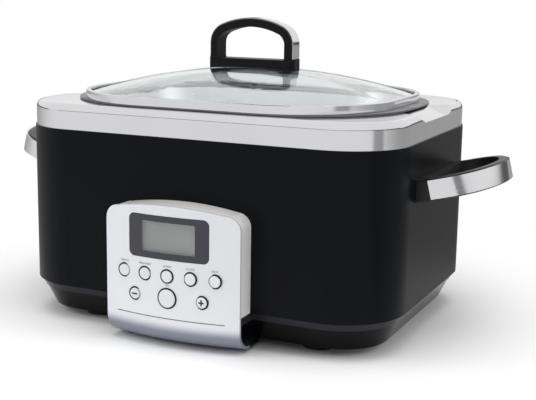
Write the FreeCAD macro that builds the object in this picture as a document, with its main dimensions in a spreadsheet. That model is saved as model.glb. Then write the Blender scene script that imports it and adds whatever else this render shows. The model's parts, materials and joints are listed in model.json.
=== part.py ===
import FreeCAD, Part
import math
import os

import Sketcher
from FreeCAD import Placement, Rotation, Vector

# Driving dimensions of the slow cooker, in millimetres and degrees
DIMENSIONS = {
    "foot_height": 8.0,
    "foot_diameter": 36.0,
    "foot_taper": 2.0,
    "foot_x": 122.0,
    "foot_y": 104.0,
    "housing_length": 400.0,
    "housing_depth": 300.0,
    "housing_corner": 65.0,
    "housing_height": 158.6,
    "housing_wall": 1.2,
    "tray_height": 28.4,
    "tray_band_height": 8.0,
    "tray_top_inset": 2.0,
    "tray_band_inset": 6.0,
    "tray_step": 1.0,
    "tray_foot_inset": 17.0,
    "tray_wall": 2.5,
    "spigot_height": 8.0,
    "rim_height": 25.0,
    "rim_inset": 1.2,
    "rim_sheet": 1.2,
    "rim_edge_radius": 7.0,
    "notch_depth": 8.0,
    "notch_slope": 18.0,
    "notch_floor_half": 40.0,
    "notch_mouth_half": 66.0,
    "pot_length": 312.0,
    "pot_depth": 242.0,
    "pot_corner": 96.0,
    "pot_draft_inset": 9.0,
    "pot_wall": 3.0,
    "pot_height": 118.0,
    "pot_floor_round": 12.0,
    "pot_flange_length": 356.0,
    "pot_flange_depth": 270.0,
    "pot_flange_corner": 112.0,
    "pot_flange_thickness": 1.6,
    "liner_gap": 3.0,
    "liner_sheet": 1.0,
    "liner_flange": 5.0,
    "plate_thickness": 9.0,
    "plate_margin": 14.0,
    "band_thickness": 1.5,
    "band_height": 54.0,
    "band_lift": 12.0,
    "wrap_air_gap": 4.0,
    "wrap_height": 88.0,
    "sensor_diameter": 16.0,
    "sensor_height": 6.0,
    "clip_width": 24.0,
    "clip_length": 52.0,
    "clip_sheet": 1.0,
    "fuse_diameter": 8.0,
    "fuse_length": 28.0,
    "fuse_x": 62.0,
    "post_x": 92.0,
    "post_y": 62.0,
    "post_diameter": 12.0,
    "screw_diameter": 4.0,
    "screw_head_diameter": 8.0,
    "screw_head_height": 2.4,
    "screw_length": 14.0,
    "board_thickness": 1.6,
    "power_board_length": 110.0,
    "power_board_depth": 70.0,
    "standoff_height": 6.0,
    "standoff_diameter": 7.0,
    "standoff_margin": 6.0,
    "transformer_size": 30.0,
    "relay_length": 22.0,
    "relay_width": 16.0,
    "relay_height": 17.0,
    "console_stand": 32.5,
    "console_bow": 288.0,
    "console_half_width": 71.0,
    "console_top": 137.0,
    "console_crown": 5.0,
    "console_top_corner": 14.0,
    "console_bottom": 3.2,
    "chin_radius": 21.0,
    "chin_return": 0.5,
    "panel_thickness": 2.6,
    "shell_wall": 2.2,
    "shell_lip": 0.8,
    "tongue_reach": 21.0,
    "bezel_half_width": 42.4,
    "bezel_height": 41.4,
    "bezel_middle": 106.7,
    "bezel_corner": 6.0,
    "bezel_thickness": 2.2,
    "bezel_sink": 0.4,
    "screen_half_width": 28.2,
    "screen_height": 29.2,
    "screen_corner": 1.2,
    "lens_thickness": 1.2,
    "lens_sink": 0.7,
    "module_margin": 3.0,
    "module_thickness": 3.0,
    "small_button_diameter": 11.0,
    "small_button_pitch": 24.0,
    "small_button_level": 70.8,
    "large_button_diameter": 17.2,
    "step_button_diameter": 10.4,
    "step_button_offset": 35.5,
    "lower_button_level": 49.7,
    "button_proud": 1.6,
    "button_round": 0.7,
    "button_gap": 0.8,
    "button_travel": 1.0,
    "button_flange": 1.4,
    "button_flange_thickness": 1.0,
    "switch_size": 6.0,
    "switch_height": 4.3,
    "panel_board_depth": 17.0,
    "panel_board_height": 84.0,
    "panel_board_lift": 4.0,
    "panel_board_half_width": 62.0,
    "cable_hole_width": 60.0,
    "cable_hole_height": 24.0,
    "vent_diameter": 3.6,
    "vent_pitch": 6.0,
    "vent_column_pitch": 8.0,
    "vent_first_y": 94.0,
    "vent_middle": 171.0,
    "gland_diameter": 22.0,
    "gland_stand": 6.0,
    "gland_bore": 7.4,
    "gland_level": 58.0,
    "gland_x": 120.0,
    "grip_reach": 72.0,
    "grip_half_span": 66.0,
    "grip_corner": 40.0,
    "grip_bow": 92.0,
    "grip_bar": 8.5,
    "grip_foot": 12.0,
    "grip_height": 21.0,
    "grip_tilt": 14.0,
    "grip_level": 149.5,
    "grip_round": 2.5,
    "trim_thickness": 1.2,
    "grip_trim_height": 18.0,
    "grip_trim_margin": 4.0,
    "handle_screw_spread": 40.0,
    "lid_length": 330.0,
    "lid_depth": 277.0,
    "lid_corner": 106.0,
    "band_ring_height": 7.5,
    "band_ring_sheet": 1.0,
    "band_ring_lip": 5.0,
    "glass_thickness": 4.0,
    "glass_rise": 25.5,
    "lid_base_half": 48.5,
    "lid_base_depth": 22.0,
    "lid_base_top": 263.0,
    "lid_base_bottom": 246.5,
    "lid_loop_half": 46.0,
    "lid_loop_top": 302.8,
    "lid_loop_bow": 85.0,
    "lid_loop_corner": 20.0,
    "lid_loop_bar": 8.0,
    "lid_loop_floor": 262.0,
    "lid_loop_depth": 20.0,
    "lid_trim_depth": 16.5,
    "lid_screw_x": 35.0,
    "lid_washer_diameter": 14.0,
    "lid_washer_thickness": 1.5,
    "fit": 0.3,
}

doc = FreeCAD.newDocument("slow_cooker")
sheet = doc.addObject("Spreadsheet::Sheet", "Dims")
for row, (alias, number) in enumerate(DIMENSIONS.items(), 1):
    sheet.set(f"A{row}", alias)
    sheet.set(f"B{row}", str(number))
    sheet.setAlias(f"B{row}", alias)
doc.recompute()

pieces = []


def dim(formula):
    """The formula with every sheet alias in it written out for an expression."""
    words = []
    for word in formula.replace("(", " ( ").replace(")", " ) ").split():
        words.append(f"Dims.{word}" if word in DIMENSIONS else word)
    return " ".join(words).replace("sqrt (", "sqrt(").replace("abs (", "abs(")


def number(formula):
    return float(sheet.evalExpression(dim(formula)))


# Levels and reaches that several pieces share
HOUSING_BOTTOM = "( foot_height + tray_height )"
HOUSING_TOP = f"( {HOUSING_BOTTOM} + housing_height )"
RIM_TOP = f"( {HOUSING_TOP} + rim_height )"
FRONT = "( 0 - housing_depth / 2 )"
PANEL_FRONT = "( 0 - housing_depth / 2 - console_stand )"
BOW_AXIS = f"( {PANEL_FRONT} + console_bow )"
POT_SEAT = f"( {RIM_TOP} + fit )"
POT_FLANGE_TOP = f"( {POT_SEAT} + pot_flange_thickness )"
POT_FLOOR = f"( {POT_SEAT} - pot_height )"
PLATE_TOP = f"( {POT_FLOOR} - fit )"
LINER_FLOOR = f"( {PLATE_TOP} - plate_thickness )"
LINER_BOTTOM = f"( {LINER_FLOOR} - liner_sheet )"
LINER_TOP = f"( {RIM_TOP} - rim_sheet - fit )"
LINER_HALF_X = "( pot_length / 2 + liner_gap )"
LINER_HALF_Y = "( pot_depth / 2 + liner_gap )"
LINER_CORNER = "( pot_corner + liner_gap )"
LID_SEAT = f"( {POT_FLANGE_TOP} + fit )"
LID_BAND_TOP = f"( {LID_SEAT} + band_ring_height )"
BODY_Y = "( ( console_stand + button_proud - gland_stand ) / 2 )"
BOARD_FRONT = f"( {PANEL_FRONT} + panel_board_depth )"
STEM_END = f"( {BOARD_FRONT} - switch_height - fit - button_travel )"


def bind(thing, prop, formula):
    thing.setExpression(prop, dim(formula))


def place(thing, x="0", y="0", z="0", axis=None, angle=0.0):
    if axis is not None:
        thing.Placement = Placement(Vector(), Rotation(axis, angle))
    bind(thing, "Placement.Base.x", x)
    bind(thing, "Placement.Base.y", y)
    bind(thing, "Placement.Base.z", z)
    return thing


def publish(thing, label, x="0", y="0", z="0", axis=None, angle=0.0):
    """Name a finished piece and stand it in the cooker's own frame."""
    place(thing, x, f"{y} + {BODY_Y}", z, axis, angle)
    thing.Label = label
    pieces.append(thing)
    return thing


def new_body(name):
    return doc.addObject("PartDesign::Body", name)


def new_sketch(body, name, plane="XY_Plane", offset="0"):
    sketch = body.newObject("Sketcher::SketchObject", name)
    origin_plane = [item for item in body.Origin.OriginFeatures if item.Role == plane][0]
    sketch.AttachmentSupport = [(origin_plane, "")]
    sketch.MapMode = "FlatFace"
    bind(sketch, "AttachmentOffset.Base.z", offset)
    return sketch


def measure(sketch, kind, where, formula):
    index = sketch.addConstraint(Sketcher.Constraint(kind, *where, number(formula)))
    sketch.setExpression(f"Constraints[{index}]", dim(formula))


def draw_rounded(sketch, half_x, half_y, corner, mid_x="0", mid_y="0"):
    """A rectangle with four round corners about (mid_x, mid_y)."""
    long_x, long_y, round_by = number(half_x), number(half_y), number(corner)
    centre_x, centre_y = number(mid_x), number(mid_y)
    first = sketch.GeometryCount

    def point(side_x, side_y):
        return Vector(centre_x + side_x, centre_y + side_y, 0)

    flat_x = long_x - round_by
    flat_y = long_y - round_by
    lines = [
        Part.LineSegment(point(-flat_x, -long_y), point(flat_x, -long_y)),
        Part.LineSegment(point(long_x, -flat_y), point(long_x, flat_y)),
        Part.LineSegment(point(flat_x, long_y), point(-flat_x, long_y)),
        Part.LineSegment(point(-long_x, flat_y), point(-long_x, -flat_y)),
    ]
    arcs = []
    for turn, (side_x, side_y) in enumerate(((1, -1), (1, 1), (-1, 1), (-1, -1))):
        circle = Part.Circle(point(side_x * flat_x, side_y * flat_y), Vector(0, 0, 1), round_by)
        start = math.radians(270 + 90 * turn)
        arcs.append(Part.ArcOfCircle(circle, start, start + math.pi / 2))
    sketch.addGeometry(lines + arcs, False)
    rules = []
    for side in range(4):
        line = first + side
        arc = first + 4 + side
        rules.append(Sketcher.Constraint("Tangent", line, 2, arc, 1))
        rules.append(Sketcher.Constraint("Tangent", arc, 2, first + (side + 1) % 4, 1))
        if side:
            rules.append(Sketcher.Constraint("Equal", first + 4, arc))
    rules += [Sketcher.Constraint("Horizontal", first + side) for side in (0, 2)]
    rules += [Sketcher.Constraint("Vertical", first + side) for side in (1, 3)]
    sketch.addConstraint(rules)
    measure(sketch, "Radius", (first + 4,), corner)
    measure(sketch, "DistanceX", (-1, 1, first + 1, 1), f"{mid_x} + ( {half_x} )")
    measure(sketch, "DistanceX", (-1, 1, first + 3, 1), f"{mid_x} - ( {half_x} )")
    measure(sketch, "DistanceY", (-1, 1, first + 2, 1), f"{mid_y} + ( {half_y} )")
    measure(sketch, "DistanceY", (-1, 1, first, 1), f"{mid_y} - ( {half_y} )")


def draw_circle(sketch, diameter, mid_x="0", mid_y="0"):
    centre = Vector(number(mid_x), number(mid_y), 0)
    index = sketch.addGeometry(Part.Circle(centre, Vector(0, 0, 1), number(diameter) / 2), False)
    measure(sketch, "Diameter", (index,), diameter)
    measure(sketch, "DistanceX", (-1, 1, index, 3), mid_x)
    measure(sketch, "DistanceY", (-1, 1, index, 3), mid_y)


def draw_polygon(sketch, corners):
    """A closed outline of straight lines through corners given as pairs of formulas."""
    points = [Vector(number(x), number(y), 0) for x, y in corners]
    first = sketch.GeometryCount
    count = len(points)
    lines = [Part.LineSegment(points[i], points[(i + 1) % count]) for i in range(count)]
    sketch.addGeometry(lines, False)
    for i in range(count):
        joint = Sketcher.Constraint("Coincident", first + i, 2, first + (i + 1) % count, 1)
        sketch.addConstraint(joint)
    for i, (x, y) in enumerate(corners):
        measure(sketch, "DistanceX", (-1, 1, first + i, 1), x)
        measure(sketch, "DistanceY", (-1, 1, first + i, 1), y)


def pad(body, sketch, length, midplane=False, backwards=False):
    feature = body.newObject("PartDesign::Pad", f"{sketch.Name}_pad")
    feature.Profile = sketch
    feature.Midplane = midplane
    feature.Reversed = backwards
    bind(feature, "Length", length)
    sketch.Visibility = False
    return feature


def pocket_through(body, sketch):
    feature = body.newObject("PartDesign::Pocket", f"{sketch.Name}_pocket")
    feature.Profile = sketch
    feature.Type = "ThroughAll"
    feature.Midplane = True
    return feature


def rounded_block(name, half_x, half_y, corner, bottom, height):
    body = new_body(name)
    sketch = new_sketch(body, f"{name}_plan", offset=bottom)
    draw_rounded(sketch, half_x, half_y, corner)
    pad(body, sketch, height)
    return body


def rounded_loft(name, sections, ruled=True):
    """A solid through level rounded rectangles: (half_x, half_y, corner, level) each."""
    body = new_body(name)
    sketches = []
    for index, (half_x, half_y, corner, level) in enumerate(sections):
        sketch = new_sketch(body, f"{name}_section_{index}", offset=level)
        draw_rounded(sketch, half_x, half_y, corner)
        sketches.append(sketch)
    loft = body.newObject("PartDesign::AdditiveLoft", f"{name}_loft")
    loft.Profile = sketches[0]
    loft.Sections = sketches[1:]
    loft.Ruled = ruled
    return body


def round_edges(body, name, radius, chosen):
    """Round the edges of the body's last feature that the test picks."""
    doc.recompute()
    base = body.Tip
    edges = [f"Edge{i + 1}" for i, edge in enumerate(base.Shape.Edges) if chosen(edge.BoundBox)]
    feature = body.newObject("PartDesign::Fillet", name)
    feature.Base = (base, edges)
    bind(feature, "Radius", radius)


def at_level(level):
    """A test for edges that lie flat at one level."""
    height = number(level)
    return lambda bounds: abs(bounds.ZMin - height) < 1e-6 and abs(bounds.ZMax - height) < 1e-6


def cut(name, base, tool):
    result = doc.addObject("Part::Cut", name)
    result.Base = base
    result.Tool = tool
    return result


def common(name, base, tool):
    result = doc.addObject("Part::Common", name)
    result.Base = base
    result.Tool = tool
    return result


def fuse(name, things):
    result = doc.addObject("Part::MultiFuse", name)
    result.Shapes = things
    return result


def group(name, things):
    """Separate solids kept side by side under one name."""
    result = doc.addObject("Part::Compound", name)
    result.Links = things
    return result


def cylinder(name, diameter, height, x="0", y="0", z="0", axis=None, angle=0.0):
    result = doc.addObject("Part::Cylinder", name)
    bind(result, "Radius", f"( {diameter} ) / 2")
    bind(result, "Height", height)
    return place(result, x, y, z, axis, angle)


def box(name, size_x, size_y, size_z, x="0", y="0", z="0"):
    """A box whose x and y are its middle and whose z is its underside."""
    result = doc.addObject("Part::Box", name)
    bind(result, "Length", size_x)
    bind(result, "Width", size_y)
    bind(result, "Height", size_z)
    return place(result, f"{x} - ( {size_x} ) / 2", f"{y} - ( {size_y} ) / 2", z)


def screw(name, length, x, y, z, axis, angle):
    """A pan-head screw: its head sits at z and its shank runs along the turned axis."""
    body = new_body(name)
    profile = new_sketch(body, f"{name}_profile", plane="XZ_Plane")
    draw_polygon(profile, [
        ("0", "0 - screw_head_height"),
        ("screw_head_diameter / 2", "0 - screw_head_height"),
        ("screw_head_diameter / 2", "0"),
        ("screw_diameter / 2", "0"),
        ("screw_diameter / 2", length),
        ("0", length),
    ])
    turn = body.newObject("PartDesign::Revolution", f"{name}_turn")
    turn.Profile = profile
    turn.ReferenceAxis = (profile, ["V_Axis"])
    turn.Angle = 360
    return place(body, x, y, z, axis, angle)


# Outer housing: a painted steel band with vents, screw holes and a cable hole
def make_housing():
    body = new_body("housing")
    plan = new_sketch(body, "housing_plan", offset=HOUSING_BOTTOM)
    draw_rounded(plan, "housing_length / 2", "housing_depth / 2", "housing_corner")
    draw_rounded(plan, "housing_length / 2 - housing_wall", "housing_depth / 2 - housing_wall",
                 "housing_corner - housing_wall")
    pad(body, plan, "housing_height")
    side = new_sketch(body, "housing_side", plane="YZ_Plane")
    for column in range(3):
        for step in range(-2, 3):
            draw_circle(side, "vent_diameter", f"vent_first_y + {column} * vent_column_pitch",
                        f"vent_middle + {step} * vent_pitch")
    for way in (-1, 1):
        draw_circle(side, "screw_diameter + 2 * fit", f"{way} * handle_screw_spread", "grip_level")
    pocket_through(body, side)
    cable = box("cable_hole", "cable_hole_width", "4 * housing_wall", "cable_hole_height",
                y=FRONT, z=f"{HOUSING_BOTTOM} + cable_hole_height")
    lead = cylinder("gland_hole", "gland_diameter - 4", "6 * housing_wall", x="gland_x",
                    y="housing_depth / 2 + 3 * housing_wall", z="gland_level",
                    axis=Vector(1, 0, 0), angle=90)
    holes = fuse("housing_holes", [cable, lead])
    publish(cut("housing_cut", body, holes), "outer_housing")


# Rim ring: a polished collar with a flat top, a pot opening and a sloped finger notch at each end
def notches(body, name, half_x, drop):
    """A notch at both ends, deep at the outside and rising to nothing at the pot's flange."""
    for i, way in enumerate((-1, 1)):
        profile = new_sketch(body, f"{name}_{i}", plane="YZ_Plane", offset=f"{way} * {half_x}")
        profile.AttachmentOffset = Placement(Vector(), Rotation(Vector(way, 0, 0), number("notch_slope")))
        bind(profile, "AttachmentOffset.Base.y", f"{RIM_TOP} - notch_depth - {drop}")
        bind(profile, "AttachmentOffset.Rotation.Angle", "notch_slope")
        draw_polygon(profile, [
            ("0 - notch_floor_half", "0"),
            ("notch_floor_half", "0"),
            ("notch_mouth_half", "notch_depth"),
            ("notch_mouth_half", "2 * notch_depth"),
            ("0 - notch_mouth_half", "2 * notch_depth"),
            ("0 - notch_mouth_half", "notch_depth"),
        ])
        pocket_through(body, profile)


def make_rim():
    half_x = "( housing_length / 2 - rim_inset )"
    half_y = "( housing_depth / 2 - rim_inset )"
    corner = "( housing_corner - rim_inset )"
    outer = rounded_block("rim_block", half_x, half_y, corner, HOUSING_TOP, "rim_height")
    round_edges(outer, "rim_edge", "rim_edge_radius", at_level(RIM_TOP))
    notches(outer, "rim_notch", half_x, "0")
    inner = rounded_block("rim_hollow", f"{half_x} - rim_sheet", f"{half_y} - rim_sheet",
                          f"{corner} - rim_sheet", f"{HOUSING_TOP} - fit",
                          "rim_height - rim_sheet + fit")
    round_edges(inner, "rim_inner_edge", "rim_edge_radius - rim_sheet", at_level(f"{RIM_TOP} - rim_sheet"))
    notches(inner, "rim_inner_notch", half_x, "rim_sheet")
    opening = rounded_block("rim_opening", LINER_HALF_X, LINER_HALF_Y, LINER_CORNER,
                            f"{HOUSING_TOP} - fit", "rim_height + 2 * fit")
    hollow = fuse("rim_hollow_all", [inner, opening])
    publish(cut("rim_cut", outer, hollow), "rim_ring")


# Base tray: a bright band over a bowl that draws in to the floor, with a spigot inside the housing
def tray_sections(skin, lower):
    def section(inset, level):
        return (f"housing_length / 2 - {inset} - {skin}", f"housing_depth / 2 - {inset} - {skin}",
                f"housing_corner - {inset} - {skin}", level)

    band_bottom = f"{HOUSING_BOTTOM} - tray_band_height"
    band = [section("tray_band_inset", band_bottom), section("tray_top_inset", HOUSING_BOTTOM)]
    bowl = [section("tray_foot_inset", f"foot_height + {lower}"),
            section("( tray_band_inset + tray_step )", band_bottom)]
    return band, bowl


def make_tray():
    band, bowl = tray_sections("0", "0")
    band_in, bowl_in = tray_sections("tray_wall", "tray_wall")
    spigot_inset = "( housing_wall + fit )"
    spigot = rounded_block("tray_spigot", f"housing_length / 2 - {spigot_inset}",
                           f"housing_depth / 2 - {spigot_inset}", f"housing_corner - {spigot_inset}",
                           HOUSING_BOTTOM, "spigot_height")
    outside = fuse("tray_outside", [rounded_loft("tray_band", band), rounded_loft("tray_bowl", bowl),
                                    spigot])
    hollow_inset = f"( {spigot_inset} + tray_wall )"
    mouth = rounded_block("tray_mouth", f"housing_length / 2 - {hollow_inset}",
                          f"housing_depth / 2 - {hollow_inset}", f"housing_corner - {hollow_inset}",
                          f"{HOUSING_BOTTOM} - fit", "spigot_height + 2 * fit")
    holes = [cylinder(f"tray_hole_{i}", "screw_diameter + 2 * fit", "3 * tray_wall",
                      x=f"{sx} * post_x", y=f"{sy} * post_y", z="foot_height - tray_wall")
             for i, (sx, sy) in enumerate(CORNERS)]
    inside = fuse("tray_inside", [rounded_loft("tray_band_in", band_in),
                                  rounded_loft("tray_bowl_in", bowl_in), mouth] + holes)
    publish(cut("tray_cut", outside, inside), "base_tray")
    feet = []
    for i, (sx, sy) in enumerate(CORNERS):
        foot = doc.addObject("Part::Cone", f"foot_{i}")
        bind(foot, "Radius1", "foot_diameter / 2 - foot_taper")
        bind(foot, "Radius2", "foot_diameter / 2")
        bind(foot, "Height", "foot_height")
        feet.append(place(foot, f"{sx} * foot_x", f"{sy} * foot_y", "0"))
    publish(group("feet", feet), "rubber_feet")


CORNERS = ((-1, -1), (1, -1), (1, 1), (-1, 1))


# Heating well: liner, plate under the pot, band heater and insulation round the wall
def liner_ring(name, inside, outside, bottom, height):
    outer = rounded_block(f"{name}_outer", f"{LINER_HALF_X} + {outside}", f"{LINER_HALF_Y} + {outside}",
                          f"{LINER_CORNER} + {outside}", bottom, height)
    inner = rounded_block(f"{name}_inner", f"{LINER_HALF_X} + {inside}", f"{LINER_HALF_Y} + {inside}",
                          f"{LINER_CORNER} + {inside}", f"{bottom} - fit", f"{height} + 2 * fit")
    return cut(name, outer, inner)


def make_well():
    tub = rounded_block("liner_tub", f"{LINER_HALF_X} + liner_sheet", f"{LINER_HALF_Y} + liner_sheet",
                        f"{LINER_CORNER} + liner_sheet", LINER_BOTTOM, f"{LINER_TOP} - {LINER_BOTTOM}")
    flange = rounded_block("liner_lip", f"{LINER_HALF_X} + liner_flange", f"{LINER_HALF_Y} + liner_flange",
                           f"{LINER_CORNER} + liner_flange", f"{LINER_TOP} - liner_sheet", "liner_sheet")
    hollow = rounded_block("liner_hollow", LINER_HALF_X, LINER_HALF_Y, LINER_CORNER, LINER_FLOOR,
                           f"{LINER_TOP} - {LINER_FLOOR} + fit")
    publish(cut("liner_cut", fuse("liner_all", [tub, flange]), hollow), "inner_liner")
    plate_inset = "( pot_draft_inset + plate_margin )"
    plate = rounded_block("plate_block", f"pot_length / 2 - {plate_inset}", f"pot_depth / 2 - {plate_inset}",
                          f"pot_corner - {plate_inset}", LINER_FLOOR, "plate_thickness")
    publish(plate, "heating_plate")
    band_bottom = f"( {LINER_FLOOR} + band_lift )"
    band_inside = "( liner_sheet + fit )"
    band_outside = f"( {band_inside} + band_thickness )"
    publish(liner_ring("band_cut", band_inside, band_outside, band_bottom, "band_height"), "heater_band")
    wrap_inside = f"( {band_outside} + fit )"
    wrap_half_y = "( housing_depth / 2 - housing_wall - wrap_air_gap )"
    outer = rounded_block("wrap_outer", "housing_length / 2 - housing_wall - wrap_air_gap", wrap_half_y,
                          f"{LINER_CORNER} - {LINER_HALF_Y} + {wrap_half_y}", LINER_FLOOR, "wrap_height")
    inner = rounded_block("wrap_inner", f"{LINER_HALF_X} + {wrap_inside}", f"{LINER_HALF_Y} + {wrap_inside}",
                          f"{LINER_CORNER} + {wrap_inside}", f"{LINER_FLOOR} - fit", "wrap_height + 2 * fit")
    publish(cut("wrap_cut", outer, inner), "insulation_wrap")


# Under the well: posts, sensor, fuse and the power electronics
def make_underside():
    floor_top = "( foot_height + tray_wall )"
    posts = []
    screws = []
    for i, (sx, sy) in enumerate(CORNERS):
        x = f"{sx} * post_x"
        y = f"{sy} * post_y"
        column = cylinder(f"post_{i}", "post_diameter", f"{LINER_BOTTOM} - {floor_top}", x, y, floor_top)
        bore = cylinder(f"post_bore_{i}", "screw_diameter + 2 * fit", "screw_length + fit", x, y, floor_top)
        posts.append(cut(f"post_cut_{i}", column, bore))
        screws.append(screw(f"base_screw_{i}", "screw_length", x, y, "foot_height", Vector(0, 0, 1), 0))
    publish(group("posts", posts), "support_posts")
    publish(group("base_screw_set", screws), "base_screws")
    sensor_bottom = f"( {LINER_BOTTOM} - sensor_height )"
    publish(cylinder("sensor", "sensor_diameter", "sensor_height"), "temperature_sensor",
            z=sensor_bottom)
    strap = box("clip_strap", "clip_length", "clip_width", "sensor_height + clip_sheet",
                z=f"{sensor_bottom} - clip_sheet")
    gap = box("clip_gap", "clip_length - 2 * clip_sheet", "clip_width + 2 * fit", "sensor_height + fit",
              z=sensor_bottom)
    publish(cut("clip_cut", strap, gap), "sensor_clip")
    fuse_tube = cylinder("fuse_tube", "fuse_diameter", "fuse_length")
    publish(fuse_tube, "thermal_fuse", x="fuse_x", y="fuse_length / 2",
            z=f"{LINER_BOTTOM} - fuse_diameter / 2", axis=Vector(1, 0, 0), angle=90)
    board_bottom = f"( {floor_top} + standoff_height )"
    board_top = f"( {board_bottom} + board_thickness )"
    publish(box("power_board", "power_board_length", "power_board_depth", "board_thickness",
                z=board_bottom), "power_board", x="0 - power_board_length / 2",
            y="0 - power_board_depth / 2", z=board_bottom)
    stands = [cylinder(f"stand_{i}", "standoff_diameter", "standoff_height",
                       f"{sx} * ( power_board_length / 2 - standoff_margin )",
                       f"{sy} * ( power_board_depth / 2 - standoff_margin )", floor_top)
              for i, (sx, sy) in enumerate(CORNERS)]
    publish(group("stands", stands), "board_standoffs")
    publish(box("transformer", "transformer_size", "transformer_size", "transformer_size"), "transformer",
            x="0 - power_board_length / 4 - transformer_size / 2", y="0 - transformer_size / 2", z=board_top)
    publish(box("relay", "relay_length", "relay_width", "relay_height"), "relay",
            x="power_board_length / 4 - relay_length / 2", y="0 - relay_width / 2", z=board_top)
    flange = cylinder("gland_flange", "gland_diameter", "gland_stand")
    neck = cylinder("gland_neck", "gland_diameter - 4 - 2 * fit", "gland_stand + 3 * housing_wall")
    bore = cylinder("gland_bore", "gland_bore", "4 * gland_stand", z="0 - gland_stand")
    gland = cut("gland_cut", fuse("gland_all", [flange, neck]), bore)
    publish(gland, "cord_gland", x="gland_x", y="housing_depth / 2 + gland_stand", z="gland_level",
            axis=Vector(1, 0, 0), angle=90)


# Console: a bowed front panel with a rolled chin, a bright surround and a black lower body
def bowed_slab(name, front_sink, thickness, bottom, top):
    """A slab that follows the panel's bow, made by turning its section about the bow's axis."""
    body = new_body(name)
    section = new_sketch(body, f"{name}_section", plane="YZ_Plane")
    front = f"( 0 - console_bow + {front_sink} )"
    back = f"( {front} + {thickness} )"
    draw_polygon(section, [(front, bottom), (back, bottom), (back, top), (front, top)])
    turn = body.newObject("PartDesign::Revolution", f"{name}_turn")
    turn.Profile = section
    turn.ReferenceAxis = (section, ["V_Axis"])
    turn.Angle = 40
    turn.Midplane = True
    return place(body, "0", BOW_AXIS, "0")


def chin_block(name, sink, top, back):
    """The console's front: upright, then rolled back under itself, turned about the bow's axis."""
    body = new_body(name)
    section = new_sketch(body, f"{name}_section", plane="YZ_Plane")
    radius = number(f"chin_radius - {sink}")
    front = number(f"0 - console_bow + {sink}")
    bottom = number(f"console_bottom + {sink}")
    inner = number(f"0 - console_bow + {back}")
    high = number(top)
    centre = Vector(front + radius, bottom + radius, 0)
    roll = Part.ArcOfCircle(Part.Circle(centre, Vector(0, 0, 1), radius), math.pi, 1.5 * math.pi)
    first = section.addGeometry([
        roll,
        Part.LineSegment(Vector(front + radius, bottom, 0), Vector(inner, bottom, 0)),
        Part.LineSegment(Vector(inner, bottom, 0), Vector(inner, high, 0)),
        Part.LineSegment(Vector(inner, high, 0), Vector(front, high, 0)),
        Part.LineSegment(Vector(front, high, 0), Vector(front, bottom + radius, 0)),
    ], False)[0]
    section.addConstraint([
        Sketcher.Constraint("Tangent", first + 4, 2, first, 1),
        Sketcher.Constraint("Tangent", first, 2, first + 1, 1),
        Sketcher.Constraint("Coincident", first + 1, 2, first + 2, 1),
        Sketcher.Constraint("Coincident", first + 2, 2, first + 3, 1),
        Sketcher.Constraint("Coincident", first + 3, 2, first + 4, 1),
        Sketcher.Constraint("Horizontal", first + 1),
        Sketcher.Constraint("Vertical", first + 2),
        Sketcher.Constraint("Horizontal", first + 3),
        Sketcher.Constraint("Vertical", first + 4),
    ])
    measure(section, "Radius", (first,), f"chin_radius - {sink}")
    measure(section, "DistanceX", (-1, 1, first + 4, 1), f"0 - console_bow + {sink}")
    measure(section, "DistanceY", (-1, 1, first + 1, 1), f"console_bottom + {sink}")
    measure(section, "DistanceX", (-1, 1, first + 2, 1), f"0 - console_bow + {back}")
    measure(section, "DistanceY", (-1, 1, first + 3, 1), top)
    turn = body.newObject("PartDesign::Revolution", f"{name}_turn")
    turn.Profile = section
    turn.ReferenceAxis = (section, ["V_Axis"])
    turn.Angle = 40
    turn.Midplane = True
    return place(body, "0", BOW_AXIS, "0")


def console_outline(name, shrink, bottom):
    """The console's front view, with an arched top, pushed straight through from front to back."""
    body = new_body(name)
    sketch = new_sketch(body, f"{name}_front", plane="XZ_Plane")
    half = number(f"console_half_width - {shrink}")
    low = number(bottom)
    corner = number(f"console_top_corner - {shrink}")
    side_top = number(f"console_top - console_crown - {shrink}")
    crest = number(f"console_top - {shrink}")
    flat = half - corner
    arch = Part.Arc(Vector(flat, side_top, 0), Vector(0, crest, 0), Vector(-flat, side_top, 0))
    bulge = math.sqrt(0.5) * corner
    right = Part.Arc(Vector(half, side_top - corner, 0),
                     Vector(flat + bulge, side_top - corner + bulge, 0), Vector(flat, side_top, 0))
    left = Part.Arc(Vector(-flat, side_top, 0),
                    Vector(-flat - bulge, side_top - corner + bulge, 0), Vector(-half, side_top - corner, 0))
    sketch.addGeometry([
        Part.LineSegment(Vector(-half, low, 0), Vector(half, low, 0)),
        Part.LineSegment(Vector(half, low, 0), Vector(half, side_top - corner, 0)),
        right,
        arch,
        left,
        Part.LineSegment(Vector(-half, side_top - corner, 0), Vector(-half, low, 0)),
    ], False)
    pad(body, sketch, "2 * console_stand")
    return place(body, "0", FRONT, "0")


def bow_sag(reach):
    """How far the bowed face has fallen back at this distance from the middle."""
    return f"( console_bow - sqrt ( console_bow ^ 2 - ( {reach} ) ^ 2 ) )"


def front_prism(name, half_x, half_z, corner, level, mid_x="0"):
    """A rounded rectangle in the front view, pushed forward from the housing's front."""
    body = new_body(name)
    sketch = new_sketch(body, f"{name}_front", plane="XZ_Plane")
    draw_rounded(sketch, half_x, half_z, corner, mid_x, level)
    pad(body, sketch, "2 * console_stand")
    return place(body, "0", FRONT, "0")


# Each button: name, place across and up the panel, and cap diameter
BUTTONS = [(f"button_{i + 1}", f"{i - 2} * small_button_pitch", "small_button_level",
            "small_button_diameter") for i in range(5)]
BUTTONS.append(("minus_button", "0 - step_button_offset", "lower_button_level", "step_button_diameter"))
BUTTONS.append(("start_button", "0", "lower_button_level", "large_button_diameter"))
BUTTONS.append(("plus_button", "step_button_offset", "lower_button_level", "step_button_diameter"))


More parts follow.
